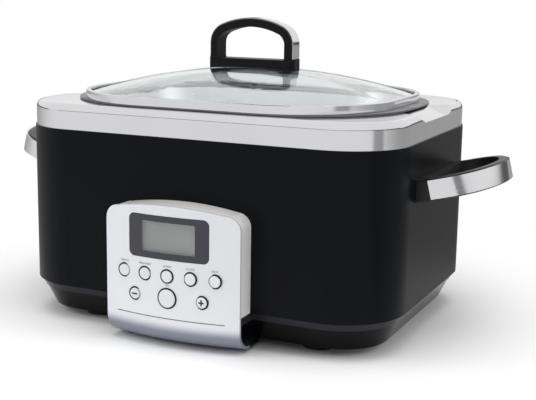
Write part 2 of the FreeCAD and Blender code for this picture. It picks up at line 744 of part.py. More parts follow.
def make_panel():
    outer = chin_block("panel_outer", "0", "console_top + fit", "chin_radius + chin_return")
    inner = chin_block("panel_inner", "panel_thickness", "console_top + 2 * fit",
                       "chin_radius + chin_return + panel_thickness")
    skin = cut("panel_skin", outer, inner)
    blank = common("panel_blank", skin, console_outline("panel_outline", "0", "0"))
    holes = [front_prism("bezel_hole", "bezel_half_width", "bezel_height / 2", "bezel_corner",
                         "bezel_middle")]
    for name, x, z, diameter in BUTTONS:
        holes.append(cylinder(f"{name}_hole", f"{diameter} + 2 * button_gap", "2 * console_stand", x,
                              FRONT, z, Vector(1, 0, 0), 90))
    publish(cut("panel_cut", blank, fuse("panel_holes", holes)), "front_panel")


def make_console_shell():
    bottom = f"( {HOUSING_BOTTOM} + fit )"
    ring = cut("shell_ring", console_outline("shell_outside", "shell_lip", bottom),
               console_outline("shell_inside", "( shell_lip + shell_wall )", f"{bottom} - shell_wall"))
    depth = bowed_slab("shell_depth", "( panel_thickness + fit )", "2 * console_stand", "0",
                       "console_top + console_crown")
    publish(common("shell_trim", ring, depth), "console_shell")


def make_console_base():
    body = new_body("console_side")
    section = new_sketch(body, "console_side_section", plane="YZ_Plane")
    floor = "( console_bottom + panel_thickness + fit )"
    top = f"( {HOUSING_BOTTOM} - fit )"
    draw_polygon(section, [
        (PANEL_FRONT, floor),
        (f"{FRONT} + tray_foot_inset - fit", floor),
        (f"{FRONT} + tray_foot_inset - fit", "foot_height - fit"),
        (f"{FRONT} + tray_band_inset - fit", f"{HOUSING_BOTTOM} - tray_band_height"),
        (f"{FRONT} + tray_top_inset - fit", top),
        (PANEL_FRONT, top),
    ])
    width = "( 2 * ( console_half_width - shell_lip ) )"
    pad(body, section, width, midplane=True)
    chin = chin_block("console_chin", "( panel_thickness + fit )", "console_top", "2 * console_stand")
    upper = common("console_upper", body, chin)
    tongue = box("console_tongue", width, "tongue_reach", "foot_height - fit - console_bottom",
                 y=f"{FRONT} + tongue_reach / 2", z="console_bottom")
    publish(fuse("console_base_all", [upper, tongue]), "console_base")


def make_display():
    seat = "fit / 2"
    frame = common("bezel_blank", bowed_slab("bezel_slab", "bezel_sink", "bezel_thickness", "0", "console_top"),
                   front_prism("bezel_edge", f"bezel_half_width - {seat}", f"bezel_height / 2 - {seat}",
                               f"bezel_corner - {seat}", "bezel_middle"))
    window = front_prism("screen_hole", "screen_half_width", "screen_height / 2", "screen_corner",
                         "bezel_middle")
    publish(cut("bezel_cut", frame, window), "display_bezel")
    lens = common("lens_cut", bowed_slab("lens_slab", "lens_sink", "lens_thickness", "0", "console_top"),
                  front_prism("lens_edge", f"screen_half_width - {seat}", f"screen_height / 2 - {seat}",
                              f"screen_corner - {seat}", "bezel_middle"))
    publish(lens, "display_lens")
    half = "( screen_half_width + module_margin )"
    high = "( screen_height + 2 * module_margin )"
    low = f"( bezel_middle - {high} / 2 )"
    front = f"( {PANEL_FRONT} + bezel_sink + bezel_thickness + {bow_sag(half)} + fit )"
    back = f"( {front} + module_thickness )"
    publish(box("module", f"2 * {half}", "module_thickness", high), "lcd_module", x=f"0 - {half}",
            y=front, z=low)
    publish(box("holder", f"2 * {half}", f"{BOARD_FRONT} - {back}", high), "lcd_holder", x=f"0 - {half}",
            y=back, z=low)
    publish(box("board", "2 * panel_board_half_width", "board_thickness", "panel_board_height"),
            "control_board", x="0 - panel_board_half_width", y=BOARD_FRONT,
            z=f"{HOUSING_BOTTOM} + panel_board_lift")
    switches = [box(f"{name}_switch", "switch_size", "switch_height", "switch_size", x,
                    f"{BOARD_FRONT} - switch_height / 2", f"{z} - switch_size / 2")
                for name, x, z, diameter in BUTTONS]
    publish(group("switches", switches), "key_switches")


def make_button(name, x, z, diameter):
    """A cap with a flange behind the panel and a stem that reaches its switch."""
    radius = f"( {diameter} / 2 )"
    rim = f"( {radius} + button_gap + button_flange )"
    across = f"abs ( {x} )"
    face = f"( {PANEL_FRONT} + {bow_sag(x)} - button_proud )"
    lean = f"( {bow_sag(f'{across} + {rim}')} - {bow_sag(x)} )"
    flange = f"( button_proud + panel_thickness + {lean} + fit )"
    body = new_body(name)
    profile = new_sketch(body, f"{name}_profile", plane="XZ_Plane")
    draw_polygon(profile, [
        ("0", "0"),
        (f"{radius} - button_round", "0"),
        (radius, "button_round"),
        (radius, flange),
        (rim, flange),
        (rim, f"{flange} + button_flange_thickness"),
        ("switch_size / 2", f"{flange} + button_flange_thickness"),
        ("switch_size / 2", f"{STEM_END} - {face}"),
        ("0", f"{STEM_END} - {face}"),
    ])
    turn = body.newObject("PartDesign::Revolution", f"{name}_turn")
    turn.Profile = profile
    turn.ReferenceAxis = (profile, ["V_Axis"])
    turn.Angle = 360
    publish(body, name, x, face, z, Vector(1, 0, 0), -90)


def loop_outline(sketch, apex, bow, corner, half_span, start, inset, upright=False):
    """A bow-ended loop: two straight arms, two corner arcs and one wide arc at the far end."""
    far = number(apex) - number(inset)
    wide = number(bow) - number(inset)
    small = number(corner) - number(inset)
    span = number(half_span) - number(inset)
    near = number(start)
    wide_centre = far - wide
    side = span - small
    small_centre = wide_centre + math.sqrt((wide - small) ** 2 - side ** 2)
    meet = math.atan2(side, small_centre - wide_centre)
    middle = (meet + math.pi / 2) / 2

    def point(along, across):
        return Vector(across, along, 0) if upright else Vector(along, across, 0)

    def corner_point(angle, way):
        return point(small_centre + small * math.cos(angle), way * (side + small * math.sin(angle)))

    ends = [corner_point(meet, way) for way in (-1, 1)]
    sketch.addGeometry([
        Part.LineSegment(point(near, span), point(near, -span)),
        Part.LineSegment(point(near, -span), point(small_centre, -span)),
        Part.Arc(point(small_centre, -span), corner_point(middle, -1), ends[0]),
        Part.Arc(ends[0], point(far, 0), ends[1]),
        Part.Arc(ends[1], corner_point(middle, 1), point(small_centre, span)),
        Part.LineSegment(point(small_centre, span), point(near, span)),
    ], False)


def loop_block(name, sizes, start, inset, thickness, upright=False):
    body = new_body(name)
    sketch = new_sketch(body, f"{name}_plan", plane="XZ_Plane" if upright else "XY_Plane")
    loop_outline(sketch, *sizes, start, inset, upright)
    pad(body, sketch, thickness, midplane=True)
    return body


# Side handles: a tilted closed grip with a bright skin on its outer bar
def make_side_handles():
    sizes = ("grip_reach", "grip_bow", "grip_corner", "grip_half_span")
    tail = "0 - grip_height / 2"
    grip = loop_block("grip_outer", sizes, tail, "0", "grip_height")
    foot = number("grip_foot")
    round_edges(grip, "grip_round_over", "grip_round",
                lambda bounds: bounds.ZLength < 1e-6 and bounds.XMax > foot - number("grip_height"))
    opening = cut("grip_opening", loop_block("grip_inner", sizes, tail, "grip_bar", "2 * grip_height"),
                  box("grip_foot_block", "2 * grip_foot", "3 * grip_half_span", "3 * grip_height",
                      z="0 - 1.5 * grip_height"))
    ring = cut("grip_ring", grip, opening)
    place(ring, "housing_length / 2", "0", "grip_level", Vector(0, 1, 0), -number("grip_tilt"))
    bores = [cylinder(f"grip_bore_{i}", "screw_diameter + 2 * fit", "screw_length", "housing_length / 2 - fit",
                      f"{way} * handle_screw_spread", "grip_level", Vector(0, 1, 0), 90)
             for i, way in enumerate((-1, 1))]
    inside = box("grip_inside", "housing_length / 2", "housing_depth", "housing_height",
                 x="housing_length / 4", z=f"{HOUSING_BOTTOM}")
    right = cut("grip_right", ring, fuse("grip_cuts", [inside] + bores))
    skin = cut("grip_skin", loop_block("skin_outer", sizes, "grip_foot", "0 - trim_thickness - fit / 3",
                                       "grip_trim_height"),
               loop_block("skin_inner", sizes, "0", "0 - fit / 3", "grip_height"))
    clip = box("skin_clip", "2 * grip_reach", "2 * ( grip_half_span + grip_trim_margin )", "2 * grip_height",
               x="grip_reach + grip_foot + trim_thickness", z="0 - grip_height")
    trim = common("grip_trim", skin, clip)
    place(trim, "housing_length / 2", "0", "grip_level", Vector(0, 1, 0), -number("grip_tilt"))
    for source, label in ((right, "grip"), (trim, "trim")):
        mirror = doc.addObject("Part::Mirroring", f"{label}_left")
        mirror.Source = source
        mirror.Normal = Vector(1, 0, 0)
        publish(mirror, f"left_handle_{label}")
        shown = group(f"{label}_right_piece", [source])
        publish(shown, f"right_handle_{label}")
    screws = []
    for side in (-1, 1):
        for way in (-1, 1):
            screws.append(screw(f"handle_screw_{side + 1}_{way + 1}", "screw_length - 2 * fit",
                                f"{side} * ( housing_length / 2 - housing_wall )",
                                f"{way} * handle_screw_spread", "grip_level", Vector(0, 1, 0), side * 90))
    publish(group("handle_screw_set", screws), "handle_screws")


# Cooking pot: a drafted pan hung from a wide flange
def make_pot():
    def section(inset, level):
        return (f"pot_length / 2 - {inset}", f"pot_depth / 2 - {inset}", f"pot_corner - {inset}", level)

    def pan(name, skin, top):
        bend = f"( pot_floor_round - {skin} )"
        side = f"( pot_draft_inset + {skin} )"
        floor = f"( {POT_FLOOR} + {skin} )"
        return rounded_loft(name, [
            section(f"( {side} + {bend} )", floor),
            section(f"( {side} + 0.3 * {bend} )", f"{floor} + 0.3 * {bend}"),
            section(side, f"{floor} + {bend}"),
            section(skin, top),
        ])

    flange = rounded_block("pot_flange", "pot_flange_length / 2", "pot_flange_depth / 2", "pot_flange_corner",
                           POT_SEAT, "pot_flange_thickness")
    solid = fuse("pot_all", [pan("pot_pan", "0", POT_FLANGE_TOP), flange])
    hollow = pan("pot_hollow", "pot_wall", f"{POT_FLANGE_TOP} + fit")
    publish(cut("pot_cut", solid, hollow), "cooking_pot")


# Lid: a steel band round a glass dome, with a loop handle screwed through the glass
GLASS_HALF_X = "( lid_length / 2 - band_ring_lip - fit )"
GLASS_HALF_Y = "( lid_depth / 2 - band_ring_lip - fit )"
GLASS_CORNER = "( lid_corner - band_ring_lip - fit )"
GLASS_SEAT = f"( {LID_SEAT} + band_ring_sheet + fit )"
GLASS_EDGE = f"( {GLASS_SEAT} + glass_thickness )"
DOME_STEPS = (1.0, 0.86, 0.7, 0.52, 0.34, 0.18, 0.05)


def dome(name, shrink, lift):
    sections = []
    for share in DOME_STEPS:
        sections.append((f"{GLASS_HALF_X} * {share} - {shrink}", f"{GLASS_HALF_Y} * {share} - {shrink}",
                         f"{GLASS_CORNER} * {share} - {shrink}",
                         f"{GLASS_EDGE} + glass_rise * ( 1 - {share} ^ 2 ) + {lift}"))
    return rounded_loft(name, sections, ruled=False)


def make_lid():
    edge_inset = "( band_ring_sheet + fit )"
    edge = rounded_block("glass_edge", f"lid_length / 2 - {edge_inset}", f"lid_depth / 2 - {edge_inset}",
                         f"lid_corner - {edge_inset}", GLASS_SEAT, "glass_thickness")
    holes = [cylinder(f"glass_hole_{i}", "screw_diameter + 4 * fit", "glass_rise + 2 * glass_thickness",
                      f"{way} * lid_screw_x", "0", GLASS_SEAT) for i, way in enumerate((-1, 1))]
    glass = fuse("glass_all", [edge, dome("glass_dome", "0", "0")])
    hollow = fuse("glass_hollow", [dome("glass_under", "glass_thickness / 4", "0 - glass_thickness")] + holes)
    publish(cut("glass_cut", glass, hollow), "lid_glass")
    ring = cut("ring_blank", rounded_block("ring_outer", "lid_length / 2", "lid_depth / 2", "lid_corner",
                                           LID_SEAT, "band_ring_height"),
               rounded_block("ring_inner", "lid_length / 2 - band_ring_lip", "lid_depth / 2 - band_ring_lip",
                             "lid_corner - band_ring_lip", f"{LID_SEAT} - fit", "band_ring_height + 2 * fit"))
    groove = rounded_block("ring_groove", "lid_length / 2 - band_ring_sheet", "lid_depth / 2 - band_ring_sheet",
                           "lid_corner - band_ring_sheet", f"{LID_SEAT} + band_ring_sheet",
                           "band_ring_height - 2 * band_ring_sheet")
    publish(cut("ring_cut", ring, groove), "lid_band")


def make_lid_handle():
    sizes = ("lid_loop_top", "lid_loop_bow", "lid_loop_corner", "lid_loop_half")
    base = rounded_block("lid_base", "lid_base_half", "lid_base_depth / 2", "lid_base_depth / 4",
                         "lid_base_bottom", "lid_base_top - lid_base_bottom")
    loop = loop_block("lid_loop", sizes, "lid_base_bottom + 2 * lid_loop_bar", "0", "lid_loop_depth", True)
    opening = loop_block("lid_opening", sizes, "lid_loop_floor", "lid_loop_bar", "2 * lid_loop_depth", True)
    seat = dome("handle_seat", "0", "fit")
    head = f"( {GLASS_EDGE} + glass_rise * ( 1 - ( lid_screw_x / {GLASS_HALF_X} ) ^ 2 ) )"
    washer_top = f"( {head} - glass_thickness - 2 * fit )"
    bores = []
    screws = []
    washers = []
    for i, way in enumerate((-1, 1)):
        x = f"{way} * lid_screw_x"
        bores.append(cylinder(f"lid_bore_{i}", "screw_diameter + 2 * fit", "screw_length", x, "0", head))
        washer_low = f"( {washer_top} - lid_washer_thickness )"
        disc = cylinder(f"washer_disc_{i}", "lid_washer_diameter", "lid_washer_thickness", x, "0", washer_low)
        eye = cylinder(f"washer_eye_{i}", "screw_diameter + 2 * fit", "2 * lid_washer_thickness", x, "0",
                       f"{washer_low} - fit")
        washers.append(cut(f"washer_{i}", disc, eye))
        screws.append(screw(f"lid_screw_{i}", "screw_length", x, "0", washer_low, Vector(0, 0, 1), 0))
    solid = fuse("lid_handle_all", [base, loop])
    publish(cut("lid_handle_cut", solid, fuse("lid_handle_cuts", [opening, seat] + bores)), "lid_handle")
    strip = cut("lid_strip", loop_block("strip_outer", sizes, "lid_base_top + fit", "0 - trim_thickness - fit / 3",
                                        "lid_trim_depth", True),
                loop_block("strip_inner", sizes, "lid_base_top", "0 - fit / 3", "lid_base_depth", True))
    publish(strip, "lid_handle_trim")
    publish(group("lid_screw_set", screws), "lid_screws")
    publish(group("lid_washer_set", washers), "lid_washers")


make_housing()
make_rim()
make_tray()
make_well()
make_underside()
make_panel()
make_console_shell()
make_console_base()
make_display()
for button in BUTTONS:
    make_button(*button)
make_side_handles()
make_pot()
make_lid()
make_lid_handle()
doc.recompute()

failed = [thing.Name for thing in doc.Objects if set(thing.State) & {"Invalid", "Error"}]
for piece in pieces:
    if piece.Shape.isNull() or not piece.Shape.isValid() or not piece.Shape.Solids:
        failed.append(piece.Label)
if failed:
    raise RuntimeError("not built: " + ", ".join(failed))

os.makedirs("parts", exist_ok=True)
for piece in pieces:
    piece.Shape.exportStep(f"parts/{piece.Label}.step")
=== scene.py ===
import json
import math

import bmesh
import bpy
from mathutils import Matrix, Vector


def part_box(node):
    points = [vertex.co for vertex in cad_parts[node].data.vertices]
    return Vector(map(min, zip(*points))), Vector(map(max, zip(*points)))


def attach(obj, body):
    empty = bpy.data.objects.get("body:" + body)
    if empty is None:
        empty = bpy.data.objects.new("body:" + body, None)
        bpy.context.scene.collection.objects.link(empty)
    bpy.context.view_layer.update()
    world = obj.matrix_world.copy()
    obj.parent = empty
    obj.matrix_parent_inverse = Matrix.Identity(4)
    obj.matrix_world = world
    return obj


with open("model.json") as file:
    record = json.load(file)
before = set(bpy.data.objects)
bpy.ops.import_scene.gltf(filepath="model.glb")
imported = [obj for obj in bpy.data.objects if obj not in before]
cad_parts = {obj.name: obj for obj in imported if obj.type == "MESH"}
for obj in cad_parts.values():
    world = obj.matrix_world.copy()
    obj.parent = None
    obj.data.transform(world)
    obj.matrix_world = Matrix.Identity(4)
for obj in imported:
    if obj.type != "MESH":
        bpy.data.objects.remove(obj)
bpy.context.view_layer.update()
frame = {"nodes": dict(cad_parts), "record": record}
NODES = frame["nodes"]
MM = 0.001

# Places taken from the solids
PANEL_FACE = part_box("front_panel")[0].y
HOUSING_LOW, HOUSING_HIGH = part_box("outer_housing")
HOUSING_MIDDLE_Y = (HOUSING_LOW.y + HOUSING_HIGH.y) / 2
POT_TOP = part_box("cooking_pot")[1].z

# Sizes of the solids that their boxes do not give
PANEL_BOW = 288 * MM
BUTTON_PROUD = 1.6 * MM
BUTTON_GAP = 0.8 * MM
BUTTON_SHOULDER = 1.4 * MM
BAND_HEIGHT = 8 * MM
FLANGE_SHEET = 1.6 * MM

# Heights at which a finish changes its colour; the changes paint sheen on the base band, a dark reflection
# on the pot's flange and shade on the panel's chin
COLOUR_STEP = 1 * MM
BAND_LOW = HOUSING_LOW.z - BAND_HEIGHT
FLANGE_LOW = POT_TOP - FLANGE_SHEET
# Painted shade on the panel's chin: full below the first height, gone above the second
CHIN_SHADE_FULL = 15.5 * MM
CHIN_SHADE_END = 27.5 * MM


# Node helpers

# Numbers of the colour sockets on a Mix node, which share their names with other sockets
MIX_INPUTS = (0, 6, 7)
MIX_RESULT = 2


def new_group(name, inputs, outputs):
    """An empty shader group with named value sockets."""
    group = bpy.data.node_groups.new(name, "ShaderNodeTree")
    for label, default in inputs:
        socket = group.interface.new_socket(label, in_out="INPUT", socket_type="NodeSocketFloat")
        socket.default_value = default
    for label in outputs:
        group.interface.new_socket(label, in_out="OUTPUT", socket_type="NodeSocketFloat")
    start = group.nodes.new("NodeGroupInput")
    end = group.nodes.new("NodeGroupOutput")
    return group, start, end


def add_node(tree, kind, **settings):
    """A new node with these settings."""
    node = tree.nodes.new(kind)
    for key, value in settings.items():
        setattr(node, key, value)
    return node


def feed(tree, socket, value):
    """Link a socket to another node's output, or set it to a plain value."""
    if isinstance(value, bpy.types.NodeSocket):
        tree.links.new(value, socket)
    else:
        socket.default_value = value


def math_node(tree, operation, first, second=0.0):
    """One step of arithmetic on outputs or plain numbers."""
    node = add_node(tree, "ShaderNodeMath", operation=operation)
    for socket, value in zip(node.inputs, (first, second)):
        feed(tree, socket, value)
    return node.outputs[0]


def ramp_node(tree, value, low, high, to_low=0.0, to_high=1.0):
    """A smooth change from one value to another while the input goes from low to high."""
    node = add_node(tree, "ShaderNodeMapRange", interpolation_type="SMOOTHSTEP")
    settings = {"Value": value, "From Min": low, "From Max": high, "To Min": to_low, "To Max": to_high}
    for label, setting in settings.items():
        feed(tree, node.inputs[label], setting)
    return node.outputs["Result"]


def noise_node(tree, place, scale, detail=2.0):
    """Soft cloudy noise between 0 and 1."""
    node = add_node(tree, "ShaderNodeTexNoise")
    for label, setting in {"Vector": place, "Scale": scale, "Detail": detail}.items():
        feed(tree, node.inputs[label], setting)
    return node.outputs["Fac"]


def object_place(tree):
    """The shaded point in the piece's own coordinates."""
    return add_node(tree, "ShaderNodeTexCoord").outputs["Object"]


def split_axes(tree, place):
    """The X, Y and Z outputs of a place or direction."""
    split = add_node(tree, "ShaderNodeSeparateXYZ")
    tree.links.new(place, split.inputs[0])
    return split.outputs


def mix_colours(tree, mask, first, second):
    """The first colour where the mask is 0 and the second where it is 1."""
    node = add_node(tree, "ShaderNodeMix", data_type="RGBA")
    for number, value in zip(MIX_INPUTS, (mask, first, second)):
        feed(tree, node.inputs[number], value)
    return node.outputs[MIX_RESULT]


def pick(tree, choice, first, second):
    """The first shader where the choice is 0 and the second where it is 1."""
    blend = add_node(tree, "ShaderNodeMixShader")
    for socket, value in zip(blend.inputs, (choice, first, second)):
        tree.links.new(value, socket)
    return blend.outputs[0]


# Shared surface effects

GRAIN_DETAIL = 3.0
LINES_DETAIL = 4.0
HAZE_SCALE = 22.0
EDGE_WIDTH = 0.6 * MM
EDGE_SAMPLES = 4
EDGE_BREAKS = 160.0


def make_moulded_grain():
    """Fine pebbled grain of moulded plastic and sprayed paint, with slow cloudy changes."""
    group, start, end = new_group("moulded_grain", [("Scale", 900.0), ("Cloud", 14.0)], ["Grain", "Cloud"])
    place = object_place(group)
    for scale, result in (("Scale", "Grain"), ("Cloud", "Cloud")):
        noise = noise_node(group, place, start.outputs[scale], GRAIN_DETAIL)
        group.links.new(noise, end.inputs[result])
    return group


def make_polish_lines():
    """Long faint lines that a polishing belt leaves along sheet metal."""
    group, start, end = new_group("polish_lines", [("Along", 5.0), ("Across", 900.0)], ["Lines", "Haze"])
    place = object_place(group)
    axes = split_axes(group, place)
    drawn_out = add_node(group, "ShaderNodeCombineXYZ")
    for axis, label in (("X", "Along"), ("Y", "Along"), ("Z", "Across")):
        scaled = math_node(group, "MULTIPLY", axes[axis], start.outputs[label])
        group.links.new(scaled, drawn_out.inputs[axis])
    lines = noise_node(group, drawn_out.outputs[0], scale=1.0, detail=LINES_DETAIL)
    group.links.new(lines, end.inputs["Lines"])
    group.links.new(noise_node(group, place, HAZE_SCALE), end.inputs["Haze"])
    return group


def make_edge_wear():
    """A mask that picks out the edges of a piece, broken up by noise."""
    group, start, end = new_group("edge_wear", [("Low", 0.03), ("High", 0.25)], ["Mask"])
    bevel = add_node(group, "ShaderNodeBevel", samples=EDGE_SAMPLES)
    bevel.inputs["Radius"].default_value = EDGE_WIDTH
    geometry = add_node(group, "ShaderNodeNewGeometry")
    alike = add_node(group, "ShaderNodeVectorMath", operation="DOT_PRODUCT")
    group.links.new(bevel.outputs["Normal"], alike.inputs[0])
    group.links.new(geometry.outputs["Normal"], alike.inputs[1])
    turned = math_node(group, "SUBTRACT", 1.0, alike.outputs["Value"])
    edge = ramp_node(group, turned, start.outputs["Low"], start.outputs["High"])
    breaks = noise_node(group, object_place(group), EDGE_BREAKS)
    group.links.new(math_node(group, "MULTIPLY", edge, breaks), end.inputs["Mask"])
    return group


GRAIN = make_moulded_grain()
POLISH = make_polish_lines()
WEAR = make_edge_wear()


# Finishes

# The part of each pattern's range that the gloss follows
GRAIN_SPAN = (0.3, 0.7)
LINES_SPAN = (0.25, 0.75)

# Least and most roughness, as shares of a finish's own
MOULDED_SPREAD = (0.95, 1.06)
BANDED_SPREAD = (0.9, 1.15)
PANEL_SPREAD = (0.95, 1.05)
METAL_SPREAD = (0.75, 1.3)

# Darkest and palest colour, as shares of a finish's own
MOULDED_CLOUDS = (0.9, 1.1)
METAL_HAZE = (0.95, 1.04)
GLASS_CLOUDS = (1.0, 1.02)

GRAIN_DEPTH = 0.2 * MM
FINE_DEPTH = 0.1 * MM
WEAR_START, WEAR_FULL, WEAR_MOST = 0.1, 0.7, 0.6
COAT_ROUGH = 0.08
METAL_BUMP = 0.04
PANEL_METALLIC = 0.35
GLASS_IOR = 1.5
GLASS_CLOUD_SCALE = 9.0

# The slant at which the glass starts to let light straight through, and where it lets the most
SLANT_START, SLANT_FULL, SLANT_MOST = 0.88, 0.98, 0.85


def new_finish(name):
    """A new material, with its node tree and its main shader."""
    finish = bpy.data.materials.new(name)
    finish.use_nodes = True
    tree = finish.node_tree
    return finish, tree, tree.nodes["Principled BSDF"]


def use_group(tree, group, **values):
    """A shared effect placed in a material with its own values."""
    node = add_node(tree, "ShaderNodeGroup", node_tree=group)
    for key, value in values.items():
        node.inputs[key].default_value = value
    return node.outputs


def shade(colour, share=1.0):
    """A colour made darker or paler, with its alpha."""
    return (*(min(1.0, c * share) for c in colour), 1.0)


def cloud_colour(tree, mask, colour, shares):
    """A colour that drifts between its darkest and palest shares."""
    return mix_colours(tree, mask, *(shade(colour, share) for share in shares))


def colour_by_height(tree, low, high, below, above):
    """One colour under a height on the piece and another over it."""
    share = ramp_node(tree, split_axes(tree, object_place(tree))["Z"], low, high)
    return mix_colours(tree, share, shade(below), shade(above))


def vary_gloss(tree, shader, pattern, span, rough, shares):
    """Roughness that follows a pattern."""
    least, most = shares
    tree.links.new(ramp_node(tree, pattern, *span, rough * least, rough * most), shader.inputs["Roughness"])


def add_bump(tree, shader, height, strength, depth):
    """A fine relief from a pattern."""
    bump = add_node(tree, "ShaderNodeBump")
    bump.inputs["Strength"].default_value = strength
    bump.inputs["Distance"].default_value = depth
    tree.links.new(height, bump.inputs["Height"])
    tree.links.new(bump.outputs["Normal"], shader.inputs["Normal"])


def moulded(name, colour, worn, rough, grain, bump, specular, coat=0.0):
    """Plastic, paint or rubber: grain in the gloss, clouds in the colour and lighter worn edges."""
    finish, tree, shader = new_finish(name)
    pattern = use_group(tree, GRAIN, Scale=grain)
    cloudy = cloud_colour(tree, pattern["Cloud"], colour, MOULDED_CLOUDS)
    rubbed = ramp_node(tree, use_group(tree, WEAR)["Mask"], WEAR_START, WEAR_FULL, 0.0, WEAR_MOST)
    tree.links.new(mix_colours(tree, rubbed, cloudy, shade(worn)), shader.inputs["Base Color"])
    vary_gloss(tree, shader, pattern["Grain"], GRAIN_SPAN, rough, MOULDED_SPREAD)
    shader.inputs["Specular IOR Level"].default_value = specular
    shader.inputs["Coat Weight"].default_value = coat
    shader.inputs["Coat Roughness"].default_value = COAT_ROUGH
    add_bump(tree, shader, pattern["Grain"], bump, GRAIN_DEPTH)
    return finish


def banded_gloss(name, colour, band, rough, grain, bump, specular):
    """Gloss plastic, black below, and greyer in the upright band under the housing as a painted sheen."""
    finish, tree, shader = new_finish(name)
    pattern = use_group(tree, GRAIN, Scale=grain)
    # Painted sheen: the upright band above its low edge is greyer than the black below
    painted_band_sheen = colour_by_height(tree, BAND_LOW, BAND_LOW + COLOUR_STEP, colour, band)
    tree.links.new(painted_band_sheen, shader.inputs["Base Color"])
    vary_gloss(tree, shader, pattern["Grain"], GRAIN_SPAN, rough, BANDED_SPREAD)
    shader.inputs["Specular IOR Level"].default_value = specular
    add_bump(tree, shader, pattern["Grain"], bump, GRAIN_DEPTH)
    return finish


def satin_panel(name, colour, painted_chin_shade, rough, grain, bump):
    """Pale metallic paint with painted shade that greys it off where the panel turns under at its foot."""
    finish, tree, shader = new_finish(name)
    pattern = use_group(tree, GRAIN, Scale=grain)
    # Painted shade: the colour darkens towards the chin's foot, where the panel turns under
    chin_shaded_colour = colour_by_height(tree, CHIN_SHADE_FULL, CHIN_SHADE_END, painted_chin_shade, colour)
    tree.links.new(chin_shaded_colour, shader.inputs["Base Color"])
    vary_gloss(tree, shader, pattern["Grain"], GRAIN_SPAN, rough, PANEL_SPREAD)
    shader.inputs["Metallic"].default_value = PANEL_METALLIC
    add_bump(tree, shader, pattern["Grain"], bump, FINE_DEPTH)
    return finish


def brush_metal(tree, shader, rough, along, across, bump):
    """Bare metal with belt lines in its gloss and relief; gives back the pattern."""
    pattern = use_group(tree, POLISH, Along=along, Across=across)
    vary_gloss(tree, shader, pattern["Lines"], LINES_SPAN, rough, METAL_SPREAD)
    shader.inputs["Metallic"].default_value = 1.0
    add_bump(tree, shader, pattern["Lines"], bump, FINE_DEPTH)
    return pattern


def sheet_metal(name, colour, rough, along=5.0, across=900.0, bump=METAL_BUMP):
    """Steel or aluminium sheet with belt lines and a faint haze."""
    finish, tree, shader = new_finish(name)
    pattern = brush_metal(tree, shader, rough, along, across, bump)
    hazy = cloud_colour(tree, pattern["Haze"], colour, METAL_HAZE)
    tree.links.new(hazy, shader.inputs["Base Color"])
    return finish


def rimmed_metal(name, colour, flange, rough, along, across):
    """Brushed pot metal with a painted dark reflection on the flange at the top."""
    finish, tree, shader = new_finish(name)
    brush_metal(tree, shader, rough, along, across, METAL_BUMP)
    # Painted reflection: the metal turns dark above the flange's low edge
    painted_flange_reflection = colour_by_height(tree, FLANGE_LOW - COLOUR_STEP, FLANGE_LOW, colour, flange)
    tree.links.new(painted_flange_reflection, shader.inputs["Base Color"])
    return finish


def clear_glass(name, colour, rough_low, rough_high):
    """Clear glass that lets lamp light through, and has a soft outline where it is seen at a slant."""
    finish, tree, shader = new_finish(name)
    cloud = use_group(tree, GRAIN, Cloud=GLASS_CLOUD_SCALE)["Cloud"]
    tree.links.new(cloud_colour(tree, cloud, colour, GLASS_CLOUDS), shader.inputs["Base Color"])
    tree.links.new(ramp_node(tree, cloud, *GRAIN_SPAN, rough_low, rough_high), shader.inputs["Roughness"])
    shader.inputs["Transmission Weight"].default_value = 1.0
    shader.inputs["IOR"].default_value = GLASS_IOR
    open_way = add_node(tree, "ShaderNodeBsdfTransparent")
    open_way.inputs["Color"].default_value = shade(colour)
    path = add_node(tree, "ShaderNodeLightPath").outputs
    facing = add_node(tree, "ShaderNodeLayerWeight").outputs["Facing"]
    slanted = ramp_node(tree, facing, SLANT_START, SLANT_FULL, 0.0, SLANT_MOST)
    lamp_light = math_node(tree, "MAXIMUM", path["Is Shadow Ray"], path["Is Diffuse Ray"])
    passing = math_node(tree, "MAXIMUM", lamp_light, slanted)
    surface = pick(tree, passing, shader.outputs[0], open_way.outputs[0])
    tree.links.new(surface, tree.nodes["Material Output"].inputs["Surface"])
    return finish


